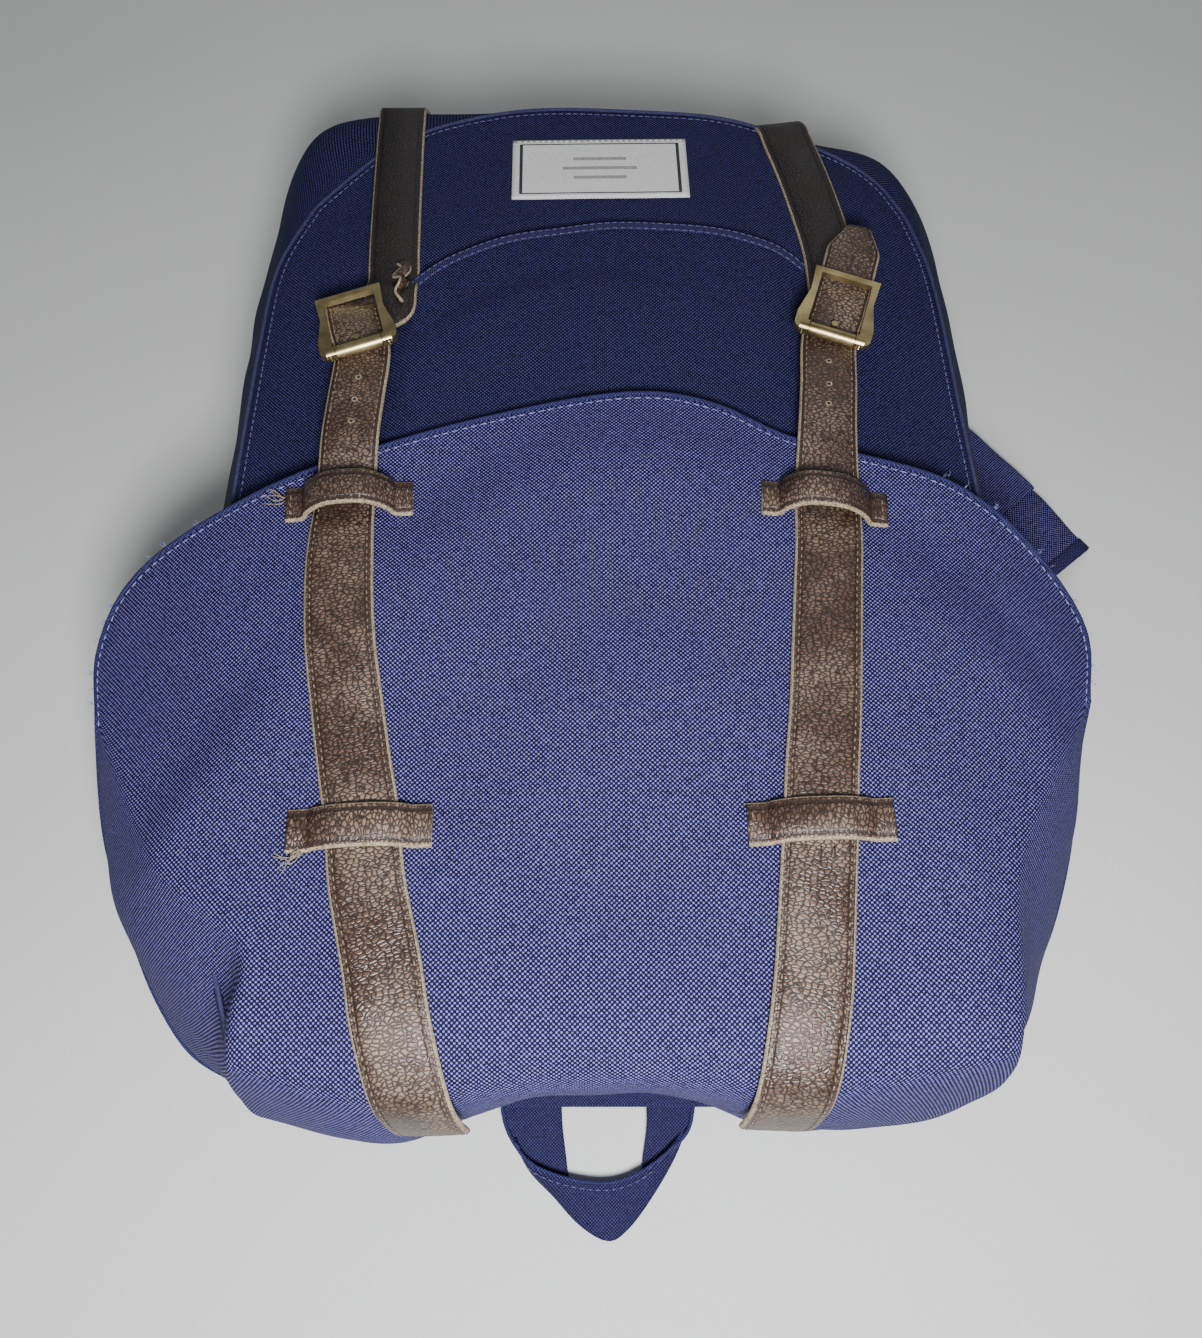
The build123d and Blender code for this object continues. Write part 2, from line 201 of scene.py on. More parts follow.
def made_cloth(obj, thickness, offset=-1.0, inner_slot=0, levels=1):
    """Thickens and rounds a piece and applies both, so the piece is its final mesh."""
    solid = obj.modifiers.new("cloth", "SOLIDIFY")
    solid.thickness = thickness * MM
    solid.offset = offset
    solid.material_offset = solid.material_offset_rim = inner_slot
    if levels:
        rounded = obj.modifiers.new("smooth", "SUBSURF")
        rounded.levels = rounded.render_levels = levels
    depsgraph = bpy.context.evaluated_depsgraph_get()
    mesh = bpy.data.meshes.new_from_object(obj.evaluated_get(depsgraph))
    obj.modifiers.clear()
    obj.data = mesh
    return obj


def ribbon(name, line, width, thickness, side_hint, face, edge=None, roll=None, crown=0.0, square=0.35):
    """A flat strap with softly rounded edges; the line runs along the middle of its thickness.

    width is a number, or a function of t from 0 to 1 along the line. roll(t) is its twist in degrees.
    """
    r, half_t = thickness * square, thickness / 2
    verts, uvs = [], []
    runs = lengths_along(line)
    for k, (p, (_, side, normal)) in enumerate(zip(line, frames(line, side_hint))):
        t = k / (len(line) - 1)
        half_w = (width(t) if callable(width) else width) / 2
        if roll:
            turn = radians(roll(t))
            side, normal = (side * cos(turn) + normal * sin(turn),
                            normal * cos(turn) - side * sin(turn))
        ring = [
            (-half_w, -half_t + r), (-half_w, half_t - r), (-half_w + r, half_t),
            (-half_w / 2, half_t + crown * 0.75), (0, half_t + crown), (half_w / 2, half_t + crown * 0.75),
            (half_w - r, half_t), (half_w, half_t - r), (half_w, -half_t + r), (half_w - r, -half_t),
            (0, -half_t), (-half_w + r, -half_t),
        ]
        for x, z in ring:
            verts.append(p + side * x + normal * z)
            uvs.append((x * MM, runs[k] * MM))
    edges = (0, 1, 6, 7, 8, 11)
    indices = [int(i in edges) for i in range(len(ring))] * (len(line) - 1) + [1, 1]
    faces = ring_faces(len(line), len(ring))
    return edited(mesh_object(name, verts, faces, [face, edge or face], uvs, indices), face_out)


def stitches(name, rows, material, length=2.2, gap=1.2, radius=0.32, raise_by=0.1, sides=5):
    """Rows of short threads. Each row is (line, normals): the thread lies on the line, along it."""
    verts, faces = [], []
    for line, normals in rows:
        count = max(2, int(lengths_along(line)[-1] / (length + gap)))
        dense = spaced(line, count * 4 + 1)
        for s in range(count):
            a, b = dense[s * 4], dense[s * 4 + 3]
            along = (b - a).normalized()
            up = normals[int((s * 4 + 1) / (count * 4) * (len(normals) - 1))].normalized()
            across = along.cross(up).normalized()
            up = across.cross(along)
            half = min(length, (b - a).length * 1.05) / 2
            faces += ring_faces(4, sides, len(verts))
            for place, fat, sunk in ((-1, 0.35, 0.35), (-0.55, 1, 0), (0.55, 1, 0), (1, 0.35, 0.35)):
                centre = (a + b) / 2 + along * place * half + up * (raise_by - sunk * radius)
                verts += circle(centre, across, up, radius * fat, sides)
    return mesh_object(name, verts, faces, [material])


def upright(line):
    """A row for stitches that lies level."""
    return line, [UP] * len(line)


def edge_rows(line, hint, half, lift):
    """Two rows for stitches along a strap, at half(t) or half away from its middle."""
    sets = frames(line, hint)
    rows = []
    for sign in SIDES.values():
        pts = []
        for k, (p, (_, side, normal)) in enumerate(zip(line, sets)):
            away = half(k / (len(line) - 1)) if callable(half) else half
            pts.append(p + side * sign * away + normal * lift)
        rows.append((pts, [normal for _, _, normal in sets]))
    return rows


def tube(name, line, radius, material, sides=8):
    """A closed round cord along a line; radius is a number or a function of t along it."""
    verts = []
    for k, (p, (_, side, normal)) in enumerate(zip(line, frames(line, (0.13, 0.21, 1)))):
        r = radius(k / (len(line) - 1)) if callable(radius) else radius
        verts += circle(p, side, normal, r, sides)
    return mesh_object(name, verts, ring_faces(len(line), sides), [material])


def dress(body_name, slot_name, *pieces):
    """The pieces ride on one body; slot_name is not used."""
    for piece in pieces:
        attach(piece, body_name)


# --- materials
class Shader:
    """A material with one principled shader, and short ways to add nodes to it."""

    def __init__(self, name):
        self.material = bpy.data.materials.new(name)
        self.material.use_nodes = True
        self.tree = self.material.node_tree
        self.tree.nodes.clear()
        self.bsdf = self.tree.nodes.new("ShaderNodeBsdfPrincipled")
        out = self.tree.nodes.new("ShaderNodeOutputMaterial")
        self.tree.links.new(self.bsdf.outputs["BSDF"], out.inputs["Surface"])

    def fill(self, made, inputs):
        """Gives each input a value, or links another node's output to it."""
        for key, value in inputs.items():
            if isinstance(value, bpy.types.NodeSocket):
                self.tree.links.new(value, made.inputs[key])
            else:
                made.inputs[key].default_value = value

    def node(self, kind, inputs=None, output=0, **settings):
        made = self.tree.nodes.new("ShaderNode" + kind)
        for key, value in settings.items():
            setattr(made, key, value)
        self.fill(made, inputs or {})
        return made.outputs[output]

    def place(self, by_object=True):
        if by_object:
            return self.node("TexCoord", output="Object")
        return self.node("UVMap", uv_map="cloth")

    def maths(self, operation, *values, kind="Math"):
        return self.node(kind, dict(enumerate(values)), operation=operation)

    def noise(self, scale, detail, output=0):
        return self.node("TexNoise", {"Vector": self.place(), "Scale": scale, "Detail": detail}, output)

    def between(self, value, low, high, step="LINEAR"):
        """0 below low, 1 above high."""
        return self.node("MapRange", {0: value, 1: low, 2: high}, interpolation_type=step)

    def mix(self, factor, a, b):
        a, b = (c if isinstance(c, bpy.types.NodeSocket) else (*c, 1.0) for c in (a, b))
        return self.node("Mix", {0: factor, 6: a, 7: b}, 2, data_type="RGBA")

    def finished(self, colour, rough, height, strength, distance, **inputs):
        bump = {"Height": height, "Strength": strength, "Distance": distance}
        inputs = {name.replace("_", " "): value for name, value in inputs.items()}
        inputs |= {"Base Color": colour, "Roughness": rough, "Normal": self.node("Bump", bump)}
        self.fill(self.bsdf, inputs)
        return self.material


def cloth_material(name, dark, light, pitch, roughness=0.75, bump=0.5, by_object=False, patchiness=0.18):
    """Plain woven cloth: thread crowns in a checker of that pitch, lighter as painted highlight, with darker
    gaps as painted shade.
    """
    s = Shader(name)
    split = s.node("SeparateXYZ", {0: s.place(by_object)}).node.outputs
    waves = [s.maths("COSINE", s.maths("MULTIPLY", split[axis], 2 * pi / pitch)) for axis in (0, 1)]
    crown = s.maths("MULTIPLY_ADD", s.maths("MULTIPLY", *waves), 0.5, 0.5)
    slub = s.noise(900.0, 2.0)
    uneven = s.maths("MULTIPLY", crown, s.maths("MULTIPLY_ADD", slub, 0.9, 0.5))
    # Painted highlight and shade: the thread crowns get the light colour and the gaps between them the dark
    # one.
    colour = s.mix(s.between(uneven, 0.44, 0.84, "SMOOTHSTEP"), dark, light)
    faded = [c * 1.35 + 0.01 for c in dark]
    colour = s.mix(s.maths("MULTIPLY", s.noise(14.0, 3.0), patchiness * 2), colour, faded)
    rough = s.maths("MULTIPLY_ADD", slub, 0.2, roughness - 0.1)
    return s.finished(colour, rough, uneven, bump, 0.0004, Specular_IOR_Level=0.12)


def leather_material(name, dark, light, seam=0.0102, cell=0.00145, roughness=0.40):
    """Pebbled leather: rounded cells with creases darkened as painted shade, pressed down under each row of
    stitches, where the groove is darkened as painted shade.
    """
    s = Shader(name)
    place = s.place(by_object=False)
    wander = s.maths("MULTIPLY", s.noise(300.0, 2.0, "Color"), (0.0012,) * 3, kind="VectorMath")
    shifted = s.maths("ADD", wander, place, kind="VectorMath")
    stretched = s.maths("MULTIPLY", shifted, (0.72, 1.12, 1.0), kind="VectorMath")
    creases = s.node("TexVoronoi", {"Vector": stretched, "Scale": 1 / cell}, feature="DISTANCE_TO_EDGE")
    pebble = s.between(creases, 0.0, 0.30, "SMOOTHSTEP")
    worn = s.between(s.noise(45.0, 5.0), 0.42, 0.68)
    colour = s.mix(s.maths("MULTIPLY", worn, 0.6), dark, light)
    # Painted shade: the creases between the pebbles are darkened.
    colour = s.mix(pebble, [c * 0.20 for c in dark], colour)
    across = s.maths("ABSOLUTE", s.node("SeparateXYZ", {0: place}))
    from_seam = s.maths("ABSOLUTE", s.maths("SUBTRACT", across, seam))
    pressed = s.between(from_seam, 0.0003, 0.0011, "SMOOTHSTEP")
    # Painted shade: the groove pressed under each row of stitches is darkened.
    colour = s.mix(pressed, [c * 0.35 for c in dark], colour)
    rough = s.maths("MULTIPLY_ADD", worn, 0.16, roughness)
    height = s.maths("MULTIPLY_ADD", pressed, 1.4, pebble)
    return s.finished(colour, rough, height, 0.45, 0.0004, Specular_IOR_Level=0.6)


def fibre_material(name, dark, light, scale=1400.0, roughness=0.85):
    """Raw edges, thread and print: streaky fibres."""
    s = Shader(name)
    fuzz = s.noise(scale, 3.0)
    colour = s.mix(s.between(fuzz, 0.35, 0.65), dark, light)
    return s.finished(colour, roughness, fuzz, 0.35, 0.0003)


def metal_material(name, bright, dull, roughness, metallic=1.0):
    """Cast metal or plastic, brighter where it has been rubbed."""
    s = Shader(name)
    cloud = s.noise(70.0, 4.0)
    colour = s.mix(s.between(cloud, 0.25, 0.60), dull, bright)
    rough = s.maths("MULTIPLY_ADD", s.noise(1800.0, 2.0), 0.22, roughness)
    return s.finished(colour, rough, cloud, 0.25, 0.0002, Metallic=metallic)


def floor_material():
    """A plain pale sheet with a very faint texture."""
    s = Shader("floor")
    colour = s.mix(s.noise(5.0, 3.0), (0.60, 0.615, 0.60), (0.68, 0.69, 0.675))
    s.fill(s.bsdf, {"Base Color": colour, "Roughness": 0.9})
    return s.material


NAVY_DARK = (0.0026, 0.0026, 0.0200)
# The lid's cloth and the bag body's cloth are one fabric in two copies: the lid's is lighter, as painted
# light, and the body's darker, as painted shade.
navy = cloth_material("navy_cloth", NAVY_DARK, (0.182, 0.174, 0.490), 0.00165, bump=0.8, patchiness=0.06)
navy_body_shaded = cloth_material(
    "navy_body_cloth", (0.0015, 0.0016, 0.0105), (0.055, 0.057, 0.200), 0.0016, bump=0.7, patchiness=0.06
)
navy_fine = cloth_material("navy_fine_cloth", NAVY_DARK, (0.055, 0.053, 0.175), 0.0013)
navy_tape = cloth_material("navy_tape", (0.0055, 0.0052, 0.024), (0.075, 0.073, 0.235), 0.0012, bump=0.4)
navy_welt = cloth_material("navy_welt", (0.006, 0.0056, 0.025), (0.075, 0.073, 0.225), 0.0013, bump=0.4)
navy_plain = cloth_material("navy_object_cloth", NAVY_DARK, (0.036, 0.038, 0.12), 0.0014, by_object=True)
navy_binding = cloth_material(
    "navy_binding", (0.008, 0.009, 0.040), (0.060, 0.064, 0.22), 0.0013, by_object=True
)
lining = cloth_material("grey_lining", (0.035, 0.035, 0.042), (0.105, 0.105, 0.125), 0.0012, bump=0.2)
label_white = cloth_material(
    "label_white", (0.50, 0.50, 0.51), (0.92, 0.92, 0.92), 0.0009, bump=0.3, patchiness=0.1
)
LEATHER = ((0.080, 0.043, 0.028), (0.320, 0.222, 0.160))
leather = leather_material("brown_leather", *LEATHER)
leather_keeper = leather_material("brown_keeper_leather", *LEATHER, seam=0.0052)
# The lower straps' leather is a darker copy of the strap leather: painted shade.
leather_lower_shaded = leather_material(
    "brown_lower_leather_shaded", (0.012, 0.0062, 0.0046), (0.027, 0.016, 0.011), seam=0.0088, roughness=0.52
)
raw_edge = fibre_material("raw_leather_edge", (0.13, 0.095, 0.058), (0.40, 0.32, 0.21))
dark_thread = fibre_material("brown_thread", (0.010, 0.006, 0.004), (0.034, 0.020, 0.014))
tan_thread = fibre_material("tan_thread", (0.060, 0.040, 0.028), (0.26, 0.195, 0.145), scale=2400.0)
pale_thread = fibre_material("pale_thread", (0.085, 0.095, 0.27), (0.30, 0.33, 0.60))
blue_thread = fibre_material("blue_thread", (0.024, 0.026, 0.105), (0.085, 0.095, 0.26))
seam_thread = fibre_material("seam_thread", (0.030, 0.031, 0.105), (0.105, 0.11, 0.27))
seam_piping = fibre_material("seam_piping", (0.007, 0.008, 0.036), (0.032, 0.035, 0.12))
label_black = fibre_material("label_black", (0.012, 0.012, 0.014), (0.03, 0.03, 0.034))
label_grey = fibre_material("label_grey", (0.20, 0.20, 0.21), (0.34, 0.34, 0.35))
label_thread = fibre_material("label_thread", (0.6, 0.6, 0.6), (0.85, 0.85, 0.85))
brass = metal_material("antique_brass", (0.60, 0.49, 0.25), (0.17, 0.125, 0.055), 0.27)
steel = metal_material("magnet_steel", (0.55, 0.55, 0.56), (0.33, 0.33, 0.34), 0.3)
black_plastic = metal_material("black_plastic", (0.025, 0.025, 0.03), (0.014, 0.014, 0.016), 0.42, 0.0)

# --- camera, light and floor
CAMERA_ELEVATION = 64
scene = bpy.context.scene
camera_data = bpy.data.cameras.new("camera")
camera_data.sensor_width = 36
camera_data.lens = 32.3
camera_data.clip_start = 0.01
camera = bpy.data.objects.new("camera", camera_data)
camera.location = (-0.001, -0.258, 0.526)
camera.rotation_euler = (radians(90 - CAMERA_ELEVATION), 0, 0)
scene.collection.objects.link(camera)
scene.camera = camera
# Each light is a disk: its place, the point it is aimed at, its size and its watts.
for name, place, aim, size, watts in (
    ("key", (0.03, -0.43, 0.57), (0, -0.12, 0.06), 0.15, 8.2),
    ("fill_left", (-1.2, 0.1, 1.3), (0, 0, 0.05), 1.4, 1.4),
    ("fill_right", (1.3, 0.2, 1.2), (0, 0, 0.05), 1.4, 1.6),
    ("far_fill", (0.2, 1.5, 1.1), (0, 0, 0.05), 1.4, 4.5),
):
    light = bpy.data.lights.new(name, "AREA")
    light.shape = "DISK"
    light.size = size
    light.energy = watts
    lamp = bpy.data.objects.new(name, light)
    lamp.location = place
    lamp.rotation_euler = (Vector(aim) - Vector(place)).to_track_quat("-Z", "Y").to_euler()
    scene.collection.objects.link(lamp)
world = bpy.data.worlds.new("studio")
world.use_nodes = True
world.node_tree.nodes["Background"].inputs[0].default_value = (0.80, 0.84, 0.90, 1)
world.node_tree.nodes["Background"].inputs[1].default_value = 0.14
scene.world = world
FLOOR = 6000
floor_corners = [(-FLOOR, -FLOOR, 0), (FLOOR, -FLOOR, 0), (FLOOR, FLOOR, 0), (-FLOOR, FLOOR, 0)]
floor = mesh_object("floor", floor_corners, [(0, 1, 2, 3)], [floor_material()])


# --- surfaces that pieces are laid on
def front_z(x, y):
    """Height of the bag's front face: flat in the middle, lower to the edges and to the bottom end."""
    base = 131.3 + 3.6 * smooth((y + 150) / 110) - 4.5 * smooth((y - 130) / 100)
    droop = max(0.0, abs(x) - 62) ** 2 / 720
    slump = 3.5 * smooth((x - 40) / 110) * smooth((y - 90) / 120)
    full = 2.4 * smooth((y + 150) / 80) * (1 - smooth((y - 15) / 50)) * max(0.0, 1 - (x / 150) ** 2)
    return base - droop - slump + full


def lid_z(x, y):
    """Height of the lid's top face: a plateau with drooping lobes, resting on the bag by its edge."""
    arch_y = 49 - (x - 18) ** 2 / 190 if abs(x) < 175 else -90
    droop = max(0.0, abs(x) - 108) ** 2 / 250
    roll = max(0.0, -184 - y) ** 2 / 95
    dip = 2.2 * exp(-((x / 60) ** 2)) * smooth((-60 - y) / 110)
    rest = 4.2 * smooth((y - arch_y + 46) / 44)
    return 147.2 - droop - roll - dip - rest


def skin(obj):
    """The surface of a finished piece, for other pieces to be laid on."""
    points = [v.co / MM for v in obj.data.vertices]
    return BVHTree.FromPolygons(points, [tuple(f.vertices) for f in obj.data.polygons])


def laid(x, y, lift, *skins):
    """The point over (x, y) that lies lift above the highest of the surfaces."""
    hits = [tree.ray_cast(Vector((x, y, 300)), -UP)[0] for tree in skins]
    return Vector((x, y, max(hit.z for hit in hits if hit) + lift))


def relax(bm, chosen, passes, share=0.6):
    """Rounds the cloth by pulling each chosen point towards the middle of its neighbours."""
    inner = [v for v in chosen if not v.is_boundary]
    for _ in range(passes):
        moved = []
        for v in inner:
            around = [e.other_vert(v).co for e in v.link_edges]
            moved.append(v.co.lerp(sum(around, Vector()) / len(around), share))
        for v, co in zip(inner, moved):
            v.co = co


def creased(p, scale, depth, seed):
    """A small, seeded unevenness of cloth at a point."""
    return depth * noise.noise(Vector((p[0] / scale + seed, p[1] / scale, p[2] / scale)))


def inside_grid(rows, margin):
    """Each point of a grid that isn't on its edge, with a factor that is 0 at the edge and 1 inside."""
    last_j, last_i = len(rows) - 1, len(rows[0]) - 1
    for j in range(1, last_j):
        for i in range(1, last_i):
            yield rows[j][i], smooth(min(i, last_i - i) / margin) * smooth(min(j, last_j - j) / margin)


# --- bag body
MOUTH_Y = -205
MOUTH_FOOT = [(-98, -208, 10), (-52, -201, 10), (0, -193.5, 10), (52, -201, 10), (98, -207, 10)]
EYELET_XS = (-85, -28, 28, 85)
ZIP_CENTRE_Y, ZIP_RADIUS = 22, 116
# Each ring: its height (None is the front face), then its line up the left side, round the bottom end
# and down the right side of the bag.
RINGS = [
    (None, [(-118, -205), (-136, -150), (-146, -88), (-148, 0), (-147, 90), (-144, 135), (-131, 170)],
     [(-131, 170), (-106, 199), (-84, 215), (-53, 226), (-26, 230), (8, 229), (52, 225), (82, 215),
      (112, 202), (128, 188), (138, 168)],
     [(138, 168), (145, 130), (148, 60), (150, 0), (147, -88), (136, -150), (118, -205)]),
    (118, [(-121, -205), (-141, -150), (-150, -88), (-152, 0), (-151, 60), (-149, 130), (-146, 180)],
     [(-146, 180), (-144, 219), (-134, 236), (-108, 240), (-84, 238), (-20, 236), (8, 235), (52, 231),
      (98, 222), (130, 214), (145, 184)],
     [(145, 184), (148, 130), (151, 60), (153, 0), (150, -88), (141, -150), (121, -205)]),
    (72, [(-122, -205), (-146, -150), (-160, -88), (-166, 0), (-167, 64), (-166, 167), (-161, 200)],
     [(-161, 200), (-153, 224), (-130, 234), (-100, 237), (-60, 238), (0, 237), (60, 234), (110, 229),
      (142, 221), (157, 211), (163, 194)],
     [(163, 194), (165, 167), (168, 92), (166, 0), (160, -88), (146, -150), (122, -205)]),
    (10, [(-118, -205), (-134, -150), (-148, -88), (-150, 0), (-150, 90), (-150, 160), (-143, 200)],
     [(-143, 200), (-132, 218), (-105, 228), (-60, 230), (0, 230), (60, 230), (105, 226), (130, 218),
      (143, 200)],
     [(143, 200), (150, 160), (150, 90), (150, 0), (148, -88), (134, -150), (118, -205)]),
]


def out_of_side(p):
    """The level direction that points out of the bag's side at a point."""
    return Vector((p.x, max(p.y - 100, -60) * 0.9, 0)).normalized()


def build_body(across=61, along=81, down=26):
    """The bag's cloth: front face, sides, bottom end and back, open at the mouth."""
    rings = []
    for height, *parts in RINGS:
        ring = [through(part, count) for part, count in zip(parts, (along, across, along))]
        for p in sum(ring, []):
            p.z = front_z(p.x, p.y) if height is None else height
        rings.append(ring)
    left, far, right = rings[0]
    near_xs = [118 * (2 * i / (across - 1) - 1) for i in range(across)]
    top = coons([Vector((x, MOUTH_Y, front_z(x, MOUTH_Y))) for x in near_xs], far, left, right[::-1])
    for p, free in inside_grid(top, 5):
        p.z = front_z(p.x, p.y) + creased(p, 52, 1.8, 3.0) * free
        # The cloth is level along the arc where the zip's slider runs.
        from_zip = abs(hypot(p.x, p.y - ZIP_CENTRE_Y) - ZIP_RADIUS)
        if from_zip < 22 and p.y > 85 and abs(p.x) < 92:
            p.z = min(p.z, 133.6 + max(0.0, from_zip - 14) * 0.3)
    loops = [a + b[1:-1] + c for a, b, c in rings]
    rim = loops[0]
    columns = []
    for points in zip(*loops):
        column = through(points, down + 1)
        for j, p in enumerate(column[1:-1], 1):
            free = sin(pi * j / down) * smooth((p.y + 205) / 120)
            p += out_of_side(p) * (creased(p, 40, 4.2, 7.0) + creased(p, 17, 1.2, 2.0)) * free
        columns.append(column)
    rows = [rim] + [[column[j] for column in columns] for j in range(1, down + 1)]
    uvs = [[(run * MM, j / down * 0.13) for run in lengths_along(rim)] for j in range(down + 1)]
    foot = rows[-1]
    left_foot, right_foot = foot[:along], foot[along + across - 3 :][::-1]
    near_foot = through([left_foot[0], *MOUTH_FOOT, right_foot[0]], across)
    under = coons(near_foot, foot[along - 1 : along - 1 + across], left_foot, right_foot)
    made = patchwork(
        "bag_body", [navy_body_shaded, lining], (top, None, False), (rows, uvs, False), (under, None, True)
    )

    def soften(bm):
        relax(bm, [v for v in bm.verts if 0.02 < v.co.z < 0.129 and v.co.y > -0.19], 4)

    made_cloth(edited(made, face_out, soften), 2.0, inner_slot=1)
    dress("bag", "navy_fabric", made)
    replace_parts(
        made, "back_panel", "side_panel_left", "side_panel_right", "bottom_panel", "front_panel",
        "front_seam_binding", "mouth_hem",
    )
    return made, rim


def trim_body(rim):
    """The seam along the rim: a fine ridge with a row of stitches beside it."""
    ridge = tube("front_seam_piping", spaced([p + UP * 0.15 for p in rim], 260), 0.8, seam_piping)
    inside = [p - out_of_side(p) * 3.2 for p in rim[2:-2]]
    row = upright([laid(q.x, q.y, 0.25, body_skin) for q in inside])
    dress("bag", "navy_webbing", ridge, stitches("front_seam_stitches", [row], seam_thread, 2.6, 0.8, 0.3))


def build_mouth_trim(turns=24):
    """A rolled hem all round the mouth, and its eyelets."""
    near_top = [Vector((x, MOUTH_Y, front_z(x, MOUTH_Y))) for x in range(-118, 119, 6)]
    side = [(118, 131), (121, 118), (122.5, 95), (122.5, 72), (121.5, 45), (119, 24), (118, 10)]
    right = through([(x, MOUTH_Y, z) for x, z in side], 20)
    left = [Vector((-p.x, p.y, p.z)) for p in reversed(right)]
    foot = through([(118, MOUTH_Y, 10), *reversed(MOUTH_FOOT), (-118, MOUTH_Y, 10)], 60)
    loop = near_top + right[1:] + foot[1:] + left[1:]
    dress("bag", "navy_webbing", tube("mouth_hem_roll", spaced(loop, 260), 1.5, navy_binding))
    # The section of an eyelet, as (radius, height), turned over for those in the foot of the mouth.
    profile = [(2.4, -3.0), (4.9, -3.0), (5.2, -2.6), (3.2, -2.2), (3.1, 0.3), (4.7, 0.4), (4.9, 0.8),
               (3.9, 1.2), (2.8, 0.9), (2.4, 0.3)]
    n = len(profile)
    verts, faces = [], []
    for x in EYELET_XS:
        for y, z, over in ((-198, front_z(x, -198), 1), (-186 if abs(x) < 50 else -197, 11.4, -1)):
            start = len(verts)
            for k in range(turns):
                a = 2 * pi * k / turns
                verts += [Vector((x + r * cos(a), y + r * sin(a), z + h * over)) for r, h in profile]
                for i in range(n):
                    here, there = start + k * n, start + (k + 1) % turns * n
                    faces.append((here + i, here + (i + 1) % n, there + (i + 1) % n, there + i))
    rings = mesh_object("mouth_eyelet_rings", verts, faces, [brass])
    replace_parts(rings, "mouth_eyelets")
    dress("bag", "antique_brass", rings)


body, body_rim = build_body()
body_skin = skin(body)
build_mouth_trim()
trim_body(body_rim)

# --- lid
ARCH = [
    (-188, -80), (-195, -47), (-183, -20), (-141, 2), (-100, 20.5), (-60, 35.5), (-12, 48.5), (20, 52),
    (46, 45.5), (72, 30.5), (105, 20), (138, 9), (165, -12), (184, -42), (179, -74),
]
LEFT_RIDGE = [
    (-118, -207), (-116.5, -188), (-114, -176), (-117, -167), (-130, -158), (-146, -147), (-159, -129),
    (-188, -80),
]
RIGHT_RIDGE = [(130, -203), (133, -180), (134, -158), (140, -136), (155, -110), (179, -74)]
NEAR_EDGE = [
    (-118, -207), (-92, -215), (-66, -219.5), (-42, -216), (-14, -213), (12, -212.5), (38, -214),
    (64, -216.5), (96, -211.5), (130, -203),
]
# The lower edge of the lid's sides and end; a height of 0 is taken from the top face.
HEM = [
    (-188, -80, 0), (-193, -98, 92), (-194, -113, 76), (-191, -130, 62), (-185, -147, 54), (-174, -169, 48),
    (-161, -187, 40), (-146, -196, 31), (-130, -202, 23), (-111, -207, 14), (-90, -210, 11), (-72, -208, 11),
    (-52, -201, 11), (-28, -195, 11), (0, -193.5, 11), (28, -195, 11), (52, -201, 11), (74, -206.5, 11),
    (92, -207, 11), (112, -205, 14), (133, -198, 27), (155, -187, 40),
    (164, -166, 52), (175, -142, 62), (181, -116, 76), (181, -92, 94), (179, -74, 0),
]


def build_lid(across=71, along=57, drop_rows=22):
    """The lid's cloth: the top face, and the sides and end that hang from its rim to the hem."""
    near, far, left, right = (
        [Vector((p.x, p.y, lid_z(p.x, p.y))) for p in through(points, count)]
        for points, count in ((NEAR_EDGE, across), (ARCH, across), (LEFT_RIDGE, along), (RIGHT_RIDGE, along))
    )
    top = coons(near, far, left, right)
    for p, free in inside_grid(top, 7):
        p.z = lid_z(p.x, p.y) + (creased(p, 78, 4.6, 1.0) + creased(p, 30, 1.0, 6.0)) * free
    rim = left[::-1] + near[1:-1] + right
    hem = through([(x, y, z or lid_z(x, y)) for x, y, z in HEM], len(rim))
    rows, uvs = [], []
    for j in range(drop_rows + 1):
        t = j / drop_rows
        swell = sin(pi * t)
        row, uv = [], []
        for a, b in zip(rim, hem):
            lean = t + (t**1.5 - t) * smooth((100 - abs(a.x)) / 30) * smooth((-190 - a.y) / 10)
            p = Vector((a.x + (b.x - a.x) * lean, a.y + (b.y - a.y) * lean, a.z + (b.z - a.z) * t))
            drop = (a - b).length
            out = Vector((a.x * 0.7, a.y + 40, 0)).normalized()
            sag = 0.07 * drop * swell * smooth((abs(a.x) - 20) / 60)
            row.append(p + out * (sag + creased(p, 30, 2.6, 5.0) * swell))
            uv.append(((a.x + out.x * drop * t) * MM, (a.y + out.y * drop * t) * MM))
        rows.append(row)
        uvs.append(uv)
    rows[0], rows[-1] = rim, hem
    made = patchwork("lid", [navy, navy_fine], (top, None, False), (rows, uvs, False))
    fold = KDTree(len(rim))
    for k, p in enumerate(rim):
        fold.insert(p * MM, k)
    fold.balance()

    def soften(bm):
        relax(bm, [v for v in bm.verts if fold.find(v.co)[2] < 0.011], 3)
        relax(bm, [v for v in bm.verts if fold.find(v.co)[2] < 0.024 and abs(v.co.x) < 0.112], 10)

    made_cloth(edited(made, face_out, soften), 1.6, inner_slot=1)
    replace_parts(made, "lid_front_panel", "lid_end_panel", "lid_side_left", "lid_side_right", "lid_binding")
    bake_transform(made)
    return made, far, top[-2], hem


